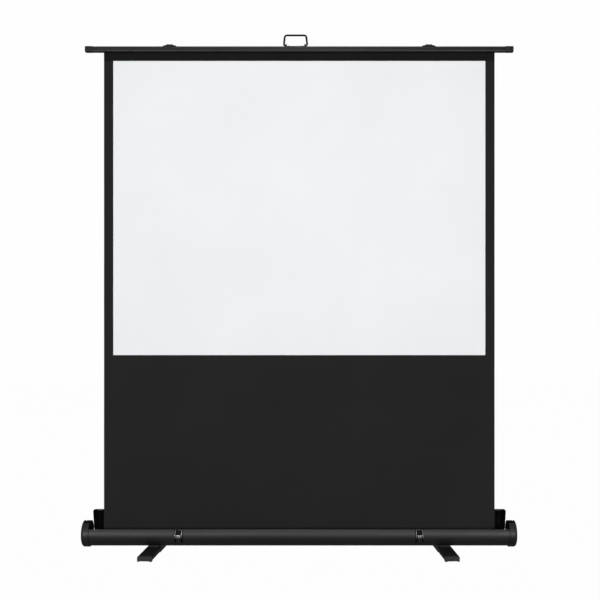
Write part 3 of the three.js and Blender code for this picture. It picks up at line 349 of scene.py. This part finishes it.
def box_mesh(name, low, high):
    mesh = bpy.data.meshes.new(name)
    shape = bmesh.new()
    bmesh.ops.create_cube(shape, size=1)
    for vert in shape.verts:
        vert.co = Vector([a + (c + 0.5) * (b - a) for a, b, c in zip(low, high, vert.co)])
    shape.to_mesh(mesh)
    shape.free()
    return mesh


def turned_mesh(name, profile, centre, sides=144):
    mesh = bpy.data.meshes.new(name)
    shape = bmesh.new()
    angles = [2 * pi * i / sides for i in range(sides)]
    rings = []
    for radius, x in profile:
        if radius == 0:
            rings.append([shape.verts.new((x, centre[0], centre[1]))])
            continue
        rings.append([shape.verts.new((x, centre[0] + radius * cos(a), centre[1] + radius * sin(a)))
                      for a in angles])
    for first, second in zip(rings, rings[1:]):
        for i in range(sides):
            j = (i + 1) % sides
            corners = [first[i % len(first)], first[j % len(first)],
                       second[j % len(second)], second[i % len(second)]]
            shape.faces.new(list(dict.fromkeys(corners)))
    bmesh.ops.recalc_face_normals(shape, faces=shape.faces)
    shape.to_mesh(mesh)
    shape.free()
    return mesh


cap_low, cap_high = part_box("case_end_cap_right")
CAP_RIM, CAP_END, CAP_RADIUS = cap_low.x, cap_high.x, cap_high.y
CASE_AXIS_Z = cap_low.z + CAP_RADIUS
CAP_WALL, CAP_BASE, CAP_ROUND, CAP_CHAMFER, ROUND_STEPS = 0.004, 0.005, 0.012, 0.0008, 14
CAP_BORE, CAP_FLOOR = CAP_RADIUS - CAP_WALL, CAP_END - CAP_BASE
SLOT_FRONT, SLOT_REAR, SLOT_MOUTH = -0.028, 0.030, CAP_RIM - 0.001
SLOT_FLOOR, SLOT_TOP = CASE_AXIS_Z + 0.014, CASE_AXIS_Z + 0.07
bends = [pi / 2 * i / ROUND_STEPS for i in range(ROUND_STEPS + 1)]
for label, side in SIDES.items():
    turn = [(CAP_RADIUS - CAP_ROUND + CAP_ROUND * cos(a), CAP_END - CAP_ROUND + CAP_ROUND * sin(a))
            for a in bends]
    profile = [(0, CAP_FLOOR), (CAP_BORE, CAP_FLOOR), (CAP_BORE, CAP_RIM),
               (CAP_RADIUS - CAP_CHAMFER, CAP_RIM), (CAP_RADIUS, CAP_RIM + CAP_CHAMFER),
               *turn, (0, CAP_END)]
    cup = turned_mesh(f"cap_{label}", [(r, side * x) for r, x in profile], (0, CASE_AXIS_Z))
    near, far = sorted((side * SLOT_MOUTH, side * CAP_FLOOR))
    slot = box_mesh("cap_slot", (near, SLOT_FRONT, SLOT_FLOOR), (far, SLOT_REAR, SLOT_TOP))
    cap = cut_piece(f"case_cap_{label}", cup, slot, cap_moulding)
    shade(cap.data, angle=30)
    seat(cap, f"case_end_cap_{label}")

# Roller: a thin aluminium tube between two moulded brackets, with a plug in each end and the last
# wraps of black fabric still on it.
arm_anodised = extruded("dark_anodised", (0.030, 0.031, 0.034), (0.044, 0.046, 0.050),
                        rough=0.42, metallic=0.7, gloss=0.4, line_depth=0.00008)
for node in ("roller_bracket_left", "roller_bracket_right", "roller_idle_plug", "roller_spring_plug",
             "spring_anchor"):
    dress(node, black_moulding, edge=0.0004)
dress("roller_tube", arm_anodised, edge=0.0003, angle=20)


# woven: a plain weave, with threads along X and Z that pass over and under each other.
CLOUD_SCALE = 2.2
woven, w_in, w_out = node_group(
    "woven",
    [("Vector", "NodeSocketVector", None), ("Threads", "NodeSocketFloat", 1400.0)],
    [("Threads", "NodeSocketFloat"), ("Cloud", "NodeSocketFloat")],
)
axes = woven.nodes.new("ShaderNodeSeparateXYZ")
woven.links.new(w_in.outputs["Vector"], axes.inputs["Vector"])
across = math_node(woven, "SINE", math_node(woven, "MULTIPLY", axes.outputs["X"], w_in.outputs["Threads"]))
along = math_node(woven, "SINE", math_node(woven, "MULTIPLY", axes.outputs["Z"], w_in.outputs["Threads"]))
crossing = math_node(woven, "MULTIPLY", across, along)
threads = math_node(woven, "ADD", math_node(woven, "MULTIPLY", crossing, 0.5), 0.5)
woven.links.new(threads, w_out.inputs["Threads"])
cloud = noise(woven, w_in.outputs["Vector"], CLOUD_SCALE, detail=3.0, rough=0.55)
woven.links.new(ramp(woven, cloud, low=0.3, high=0.7), w_out.inputs["Cloud"])

GAP_SHADE, GAP_SHARE, CLOTH_ROUGH, CLOTH_GLOSS = 0.82, 0.25, 0.9, 0.12


def cloth(name, dark, light, threads, depth):
    material, tree, shader, coords = bare_material(name)
    made = place_group(tree, woven, coords, Threads=threads)
    tone = mix_colour(tree, made["Cloud"], dark, light)
    shadow = tuple(c * GAP_SHADE for c in dark)
    gaps = math_node(tree, "MULTIPLY", math_node(tree, "SUBTRACT", 1.0, made["Threads"]), GAP_SHARE)
    tree.links.new(mix_colour(tree, gaps, tone, shadow), shader.inputs["Base Color"])
    shader.inputs["Roughness"].default_value = CLOTH_ROUGH
    shader.inputs["Specular IOR Level"].default_value = CLOTH_GLOSS
    bump(tree, shader, made["Threads"], strength=0.4, distance=depth)
    return material


black_cloth = cloth("black_border_cloth", (0.0140, 0.0140, 0.0140), (0.0165, 0.0165, 0.0165),
                    threads=2600.0, depth=0.00012)

roll_low, roll_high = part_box("fabric_roll")
CLOTH_HALF, CLOTH_THICK = roll_high.x, 0.0004
ROLL_Y, ROLL_Z = (roll_low.y + roll_high.y) / 2, (roll_low.z + roll_high.z) / 2
ROLL_CLEAR, ROLL_BUILD = 0.00005, 0.0015
ROLL_OUTER = (roll_high.z - roll_low.z) / 2 - ROLL_CLEAR
ROLL_INNER = ROLL_OUTER - ROLL_BUILD
ROLL_TURNS, ROLL_STEPS = 3, 96


def roll_mesh():
    mesh = bpy.data.meshes.new("cloth_roll")
    shape = bmesh.new()
    count = ROLL_TURNS * ROLL_STEPS
    rows = []
    for i in range(count + 1):
        radius = ROLL_INNER + (ROLL_OUTER - ROLL_INNER - CLOTH_THICK) * i / count
        angle = -2 * pi * i / ROLL_STEPS
        spots = []
        for r in (radius, radius + CLOTH_THICK):
            for x in (-CLOTH_HALF, CLOTH_HALF):
                spots.append(shape.verts.new((x, ROLL_Y + r * cos(angle), ROLL_Z + r * sin(angle))))
        rows.append(spots)
    for (a, b, c, d), (e, f, g, h) in zip(rows, rows[1:]):
        for quad in ((a, b, f, e), (c, g, h, d), (a, e, g, c), (b, d, h, f)):
            shape.faces.new(quad)
    for a, b, c, d in (rows[0], rows[-1]):
        shape.faces.new((a, c, d, b))
    bmesh.ops.recalc_face_normals(shape, faces=shape.faces)
    shape.to_mesh(mesh)
    shape.free()
    shade(mesh, angle=40)
    return mesh


roll = seat(add_piece("cloth_roll", roll_mesh(), black_cloth), "fabric_roll")

# Scissor frame: four flat aluminium arms with a pressed groove, riveted in pairs, between two
# channels. The fixed pivots are on the left and the sliding pins on the right.
for node in ("arm_lower_front", "arm_lower_rear", "arm_upper_front", "arm_upper_rear"):
    dress(node, arm_anodised, edge=0.0004)
dress("arm_channel_lower", arm_anodised, edge=0.0003)
dress("arm_channel_upper", arm_anodised, edge=0.0003)

# Fabric: a hanging sheet, black with a matte white face for the picture, which runs up from the roller to a
# head band.
# The band is a darker black than the sheet, which is painted shade for the bar's shadow on it. The band laps
# over the sheet in front, is held by its hem in the bar and goes down with the bar. The free edges curl back
# very slightly.
white_cloth = cloth("white_viewing_cloth", (0.835, 0.852, 0.868), (0.865, 0.880, 0.893),
                    threads=5200.0, depth=0.00005)
# Darker black for the head band: painted shade for the bar's shadow over the band.
head_band_painted_shade = cloth("head_band_painted_shade_cloth", (0.0066, 0.0066, 0.0066), (0.0080, 0.0080, 0.0080),
                   threads=2600.0, depth=0.00012)
white_low, white_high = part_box("viewing_surface")
WHITE_HALF, WHITE_LOW, WHITE_HIGH = white_high.x, white_low.z, white_high.z
cloth_low, cloth_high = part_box("screen_fabric")
BAND_Y, CLOTH_LOW, CLOTH_HIGH = (cloth_low.y + cloth_high.y) / 2, cloth_low.z, cloth_high.z
LAP, LAP_GAP, FOLDED_SHARE = 0.006, 0.0001, 0.006
CLOTH_Y = BAND_Y + CLOTH_THICK + LAP_GAP
CLOTH_TOP = WHITE_HIGH + LAP
EDGE_CURL, CURL_PITCH, CURL_POWER, CURL_PHASE = 0.0011, 0.62, 8, 0.9
BORDER_STEPS, WHITE_STEPS, LOWER_STEPS = 4, 64, 40


def even_steps(low, high, count):
    return [low + (high - low) * i / count for i in range(count)]


def hang(x, z):
    share = (z - CLOTH_LOW) / (CLOTH_HIGH - CLOTH_LOW)
    free = sin(pi * share) * (abs(x) / CLOTH_HALF) ** CURL_POWER
    wave = sin(2 * pi * z / CURL_PITCH + (CURL_PHASE if x > 0 else 0.0))
    return EDGE_CURL * free * (0.5 + 0.5 * wave)


def hung_sheet(name, y, columns, rows):
    mesh = bpy.data.meshes.new(name)
    shape = bmesh.new()
    sheets = []
    for offset in (-CLOTH_THICK / 2, CLOTH_THICK / 2):
        sheets.append([[shape.verts.new((x, y + hang(x, z) + offset, z)) for x in columns] for z in rows])
    front, back = sheets
    for i in range(len(rows) - 1):
        for j in range(len(columns) - 1):
            face = shape.faces.new((front[i][j], front[i][j + 1], front[i + 1][j + 1], front[i + 1][j]))
            middle = face.calc_center_median()
            face.material_index = int(abs(middle.x) < WHITE_HALF and WHITE_LOW < middle.z < WHITE_HIGH)
            shape.faces.new((back[i][j], back[i + 1][j], back[i + 1][j + 1], back[i][j + 1]))
    for i in range(len(rows) - 1):
        shape.faces.new((front[i][0], front[i + 1][0], back[i + 1][0], back[i][0]))
        shape.faces.new((front[i][-1], back[i][-1], back[i + 1][-1], front[i + 1][-1]))
    for j in range(len(columns) - 1):
        shape.faces.new((front[0][j], back[0][j], back[0][j + 1], front[0][j + 1]))
        shape.faces.new((front[-1][j], front[-1][j + 1], back[-1][j + 1], back[-1][j]))
    bmesh.ops.recalc_face_normals(shape, faces=shape.faces)
    shape.to_mesh(mesh)
    shape.free()
    shade(mesh, angle=40)
    return mesh


columns = even_steps(-CLOTH_HALF, -WHITE_HALF, BORDER_STEPS)
columns += even_steps(-WHITE_HALF, WHITE_HALF, WHITE_STEPS)
columns += even_steps(WHITE_HALF, CLOTH_HALF, BORDER_STEPS) + [CLOTH_HALF]
sheet_rows = even_steps(CLOTH_LOW, WHITE_LOW, LOWER_STEPS)
sheet_rows += even_steps(WHITE_LOW, WHITE_HIGH, WHITE_STEPS) + [WHITE_HIGH, CLOTH_TOP]
band_rows = even_steps(WHITE_HIGH, CLOTH_HIGH, BORDER_STEPS) + [CLOTH_HIGH]

band_mesh = hung_sheet("head_band", BAND_Y, columns, band_rows)
band = add_piece("head_band", band_mesh, head_band_painted_shade)
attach(band, "top_bar_assembly")

hanging_mesh = hung_sheet("hanging_cloth", CLOTH_Y, columns, sheet_rows)
hanging = add_piece("hanging_cloth", hanging_mesh, black_cloth, white_cloth)
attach(hanging, "case")
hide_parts("screen_fabric", "viewing_surface")
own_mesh(hanging)

# Top bar: a grooved aluminium extrusion with a satin coat, its hem slot underneath, moulded tips
# pushed into its ends and two small moulded pads on top.
bar_coat = extruded("bar_satin_coat", (0.0090, 0.0090, 0.0099), (0.0118, 0.0118, 0.0130),
                    rough=0.40, metallic=0.0, gloss=0.34, line_depth=0.0001)
tip_moulding = grained("tip_moulding", (0.0100, 0.0100, 0.0108), (0.0130, 0.0130, 0.0140),
                       rough=0.42, pebble_scale=1700, depth=0.0001)
dress("top_bar", bar_coat, edge=0.0002)
for label in SIDES:
    dress(f"bar_tip_{label}", tip_moulding, edge=0)
    dress(f"bar_bumper_{label}", tip_moulding, edge=0.0006)

# Carry handle: a bent steel wire with a black coat, its feet turned into two lugs of a moulded
# bracket that is screwed to the top of the bar.
handle_coat = grained("handle_coat", (0.0095, 0.0095, 0.0102), (0.0130, 0.0130, 0.0138),
                      rough=0.42, pebble_scale=1200, depth=0.0001, gloss=0.1)
dress("carry_handle", handle_coat, edge=0, angle=50)
dress("handle_bracket", black_moulding, edge=0.0004)

# Lid: a half-round extrusion on a bead that turns in the case's socket, coated like the case outside, with a
# moulded trim at each end. Inside, the lid and the trims carry a blacker cloth lining that is painted shade
# for the hollow's shadow.
# Blacker lining inside the lid and its trims: painted shade for the shadow in the hollow.
hollow_shade_lining = cloth("lid_painted_shade_lining", (0.0020, 0.0020, 0.0020), (0.0032, 0.0032, 0.0032),
              threads=3100.0, depth=0.0002)
LID_AXIS = Vector((0, 0.0317, 0.1204))
LID_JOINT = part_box("lid")[1].x
LINING_REACH, END_FACING, JOINT_MARGIN = 0.0512, 0.5, 0.0005


def faces_lid_axis(face):
    middle = face.calc_center_median()
    reach = Vector((0, middle.y - LID_AXIS.y, middle.z - LID_AXIS.z))
    curved = abs(face.normal.x) < END_FACING
    return reach.length < LINING_REACH and curved and face.normal.dot(reach) < 0


def faces_lid_middle(face):
    middle = face.calc_center_median()
    return face.normal.dot(LID_AXIS - middle) > 0 and abs(middle.x) > LID_JOINT + JOINT_MARGIN


dress("lid", case_coat, edge=0, angle=20, lining=hollow_shade_lining, inside=faces_lid_axis)
for label in SIDES:
    dress(f"lid_end_{label}", cap_moulding, edge=0.0004, angle=24, lining=hollow_shade_lining, inside=faces_lid_middle)
    dress(f"lid_keeper_{label}", zinc, edge=0.0003)

# Draw latches: a moulded base riveted to the case, a plated lever on a pin between its ears, with a
# black moulded tongue to pull on, and a dull nickel wire loop that hooks over the lid's keeper.
chrome = plated("latch_chrome", (0.50, 0.51, 0.52), (0.66, 0.67, 0.68), rough=0.16)
loop_nickel = plated("latch_loop_nickel", (0.105, 0.106, 0.108), (0.18, 0.182, 0.186), rough=0.20)
latch_moulding = grained("latch_moulding", (0.0030, 0.0030, 0.0032), (0.0042, 0.0042, 0.0045),
                         rough=0.5, pebble_scale=1700, depth=0.00012, gloss=0.06)
tongue_moulding = grained("tongue_moulding", (0.0105, 0.0105, 0.0112), (0.0130, 0.0130, 0.0138),
                          rough=0.5, pebble_scale=1700, depth=0.00012, gloss=0.3)
TONGUE_TOP = 0.0725


def below_barrel(face):
    return face.calc_center_median().z < TONGUE_TOP


for label in SIDES:
    dress(f"latch_base_{label}", latch_moulding, edge=0.0004)
    dress(f"latch_lever_{label}", chrome, edge=0.0004, angle=40,
          lining=tongue_moulding, inside=below_barrel, parting=TONGUE_TOP)
    dress(f"latch_loop_{label}", loop_nickel, edge=0, angle=50)

# Screws: zinc plated pan heads, which hold the handle's bracket down on the top of the bar. The cross in each
# head is not cut in: a thin black cross laid on top of the head is painted shade for it.
# Black for the cross on the screw heads: painted shade for the hollow of the cross.
screw_cross_painted_shade = grained("screw_cross_painted_shade", (0.004, 0.004, 0.004), (0.006, 0.006, 0.006),
                       rough=0.7, pebble_scale=900, depth=0.0001)
SCREW_RADIUS, SCREW_HEIGHT, SCREW_TURN = 0.0042, 0.0032, (0, 0, 0.4)
SCREW_REACH, BRACKET_PLATE = 0.030, 0.0012
HEAD_SIDES, RIM_SHARE, CROWN_SHARE, CROWN_TOP = 28, 0.55, 0.45, 0.72
CROSS_SHADE_WIDTH, CROSS_SHADE_RISE = 0.24, 0.0002
screw_tree, s_in, s_out = node_group(
    "pan_head_screws",
    [("Geometry", "NodeSocketGeometry", None), ("Radius", "NodeSocketFloat", None),
     ("Height", "NodeSocketFloat", None), ("Turn", "NodeSocketVector", None)],
    [("Geometry", "NodeSocketGeometry")],
    kind="GeometryNodeTree",
)


def screw_node(kind, **values):
    node = screw_tree.nodes.new(kind)
    for label, value in values.items():
        feed(screw_tree, node.inputs[label.replace("_", " ")], value)
    return node


def share_of(value, share):
    return math_node(screw_tree, "MULTIPLY", value, share)


def raised(form, height):
    lift = screw_node("ShaderNodeCombineXYZ", Z=height)
    return screw_node("GeometryNodeTransform", Geometry=form.outputs["Mesh"], Translation=lift.outputs[0])


def joined(*parts):
    node = screw_tree.nodes.new("GeometryNodeJoinGeometry")
    for part in parts:
        screw_tree.links.new(part.outputs["Geometry"], node.inputs["Geometry"])
    return node.outputs["Geometry"]


radius, height = s_in.outputs["Radius"], s_in.outputs["Height"]
rim_height = share_of(height, RIM_SHARE)
rim = screw_node("GeometryNodeMeshCylinder", Vertices=HEAD_SIDES, Radius=radius, Depth=rim_height)
crown = screw_node("GeometryNodeMeshCone", Vertices=HEAD_SIDES, Radius_Bottom=radius,
                   Radius_Top=share_of(radius, CROWN_TOP), Depth=share_of(height, CROWN_SHARE))
head = joined(raised(rim, share_of(height, RIM_SHARE / 2)), raised(crown, rim_height))
thin_side = share_of(radius, CROSS_SHADE_WIDTH)
blades = []
for first, second in ((radius, thin_side), (thin_side, radius)):
    size = screw_node("ShaderNodeCombineXYZ", X=first, Y=second, Z=CROSS_SHADE_RISE)
    blades.append(raised(screw_node("GeometryNodeMeshCube", Size=size.outputs[0]), height))
head_plate = screw_node("GeometryNodeSetMaterial", Geometry=head, Material=zinc)
# The black cross on the head: painted shade that stands in for its hollow.
cross_shade = screw_node("GeometryNodeSetMaterial", Geometry=joined(*blades), Material=screw_cross_painted_shade)
turned = screw_node("GeometryNodeTransform", Geometry=joined(head_plate, cross_shade),
                    Rotation=s_in.outputs["Turn"])
placed = screw_node("GeometryNodeInstanceOnPoints", Points=s_in.outputs["Geometry"],
                    Instance=turned.outputs["Geometry"])
real = screw_node("GeometryNodeRealizeInstances", Geometry=placed.outputs["Instances"])
screw_tree.links.new(real.outputs["Geometry"], s_out.inputs["Geometry"])

bracket_low, bracket_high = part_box("handle_bracket")
bracket_middle = (bracket_low + bracket_high) / 2
plate_top = bracket_low.z + BRACKET_PLATE
screw_spots = bpy.data.meshes.new("handle_screws")
screw_spots.from_pydata(
    [(bracket_middle.x + side * SCREW_REACH, bracket_middle.y, plate_top) for side in SIDES.values()], [], [])
handle_screws = add_piece("handle_screws", screw_spots)
maker = handle_screws.modifiers.new("screws", "NODES")
maker.node_group = screw_tree
sockets = {item.name: item.identifier for item in screw_tree.interface.items_tree
           if item.item_type == "SOCKET" and item.in_out == "INPUT"}
maker[sockets["Radius"]] = SCREW_RADIUS
maker[sockets["Height"]] = SCREW_HEIGHT
maker[sockets["Turn"]] = SCREW_TURN
settle(handle_screws)
shade(handle_screws.data, angle=35)
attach(handle_screws, "top_bar_assembly")

# Studio: a pale floor and backdrop that show white to the camera and keep a faint shadow, with
# soft boxes in front on the left and right, above, behind and on each side.
FLOOR_HALF, FLOOR_GREY, FLOOR_GLOW_SHARE = 9, 0.17, 0.985
GLOSS_SHARE, SKY_SHOWN, SKY_LIGHT = 0.08, 0.67, 0.32


def shown_rays(tree):
    rays = tree.nodes.new("ShaderNodeLightPath").outputs
    seen = math_node(tree, "MAXIMUM", rays["Is Camera Ray"], rays["Is Transmission Ray"])
    return math_node(tree, "MAXIMUM", seen, math_node(tree, "MULTIPLY", rays["Is Glossy Ray"], GLOSS_SHARE))


floor_white = bpy.data.materials.new("floor_white")
floor_white.use_nodes = True
floor_tree = floor_white.node_tree
floor_tree.nodes.clear()
output = floor_tree.nodes.new("ShaderNodeOutputMaterial")
matte = floor_tree.nodes.new("ShaderNodeBsdfDiffuse")
matte.inputs["Color"].default_value = (FLOOR_GREY, FLOOR_GREY, FLOOR_GREY, 1)
glow = floor_tree.nodes.new("ShaderNodeEmission")
glow.inputs["Strength"].default_value = 1.0
blend = floor_tree.nodes.new("ShaderNodeMixShader")
glow_share = math_node(floor_tree, "MULTIPLY", shown_rays(floor_tree), FLOOR_GLOW_SHARE)
floor_tree.links.new(glow_share, blend.inputs["Fac"])
floor_tree.links.new(matte.outputs[0], blend.inputs[1])
floor_tree.links.new(glow.outputs[0], blend.inputs[2])
floor_tree.links.new(blend.outputs[0], output.inputs["Surface"])

floor_mesh = bpy.data.meshes.new("floor")
floor_corners = [(FLOOR_HALF * x, FLOOR_HALF * y, 0) for x, y in ((-1, -1), (1, -1), (1, 1), (-1, 1))]
floor_mesh.from_pydata(floor_corners, [], [(0, 1, 2, 3)])
floor = add_piece("floor", floor_mesh, floor_white)

world = bpy.data.worlds.new("studio")
scene.world = world
world.use_nodes = True
sky = world.node_tree
backdrop = sky.nodes["Background"]
backdrop.inputs["Color"].default_value = (1, 1, 1, 1)
sky_level = math_node(sky, "ADD", math_node(sky, "MULTIPLY", shown_rays(sky), SKY_SHOWN), SKY_LIGHT)
sky.links.new(sky_level, backdrop.inputs["Strength"])


def soft_light(name, spot, aim, size, watts):
    lamp = bpy.data.lights.new(name, "AREA")
    lamp.shape = "RECTANGLE"
    lamp.size, lamp.size_y = size
    lamp.energy = watts
    holder = bpy.data.objects.new(name, lamp)
    scene.collection.objects.link(holder)
    holder.location = spot
    holder.rotation_euler = (Vector(aim) - Vector(spot)).to_track_quat("-Z", "Y").to_euler()


soft_light("front_left_light", (-2.0, -5.0, 0.5), aim=(0, 0, 1.15), size=(1.1, 1.4), watts=109)
soft_light("front_right_light", (2.0, -5.0, 0.5), aim=(0, 0, 1.15), size=(1.1, 1.4), watts=111)
soft_light("top_light", (0, -3.6, 3.6), aim=(0, 0, 0.3), size=(1.4, 0.9), watts=34)
soft_light("rear_light", (0, 4.6, 2.6), aim=(0, 0, 0.9), size=(3.6, 1.6), watts=70)
soft_light("left_light", (-3.8, -2.6, 2.0), aim=(0, 0, 1.0), size=(1.6, 2.6), watts=13)
soft_light("right_light", (3.8, -2.6, 2.0), aim=(0, 0, 1.0), size=(1.6, 2.6), watts=12)
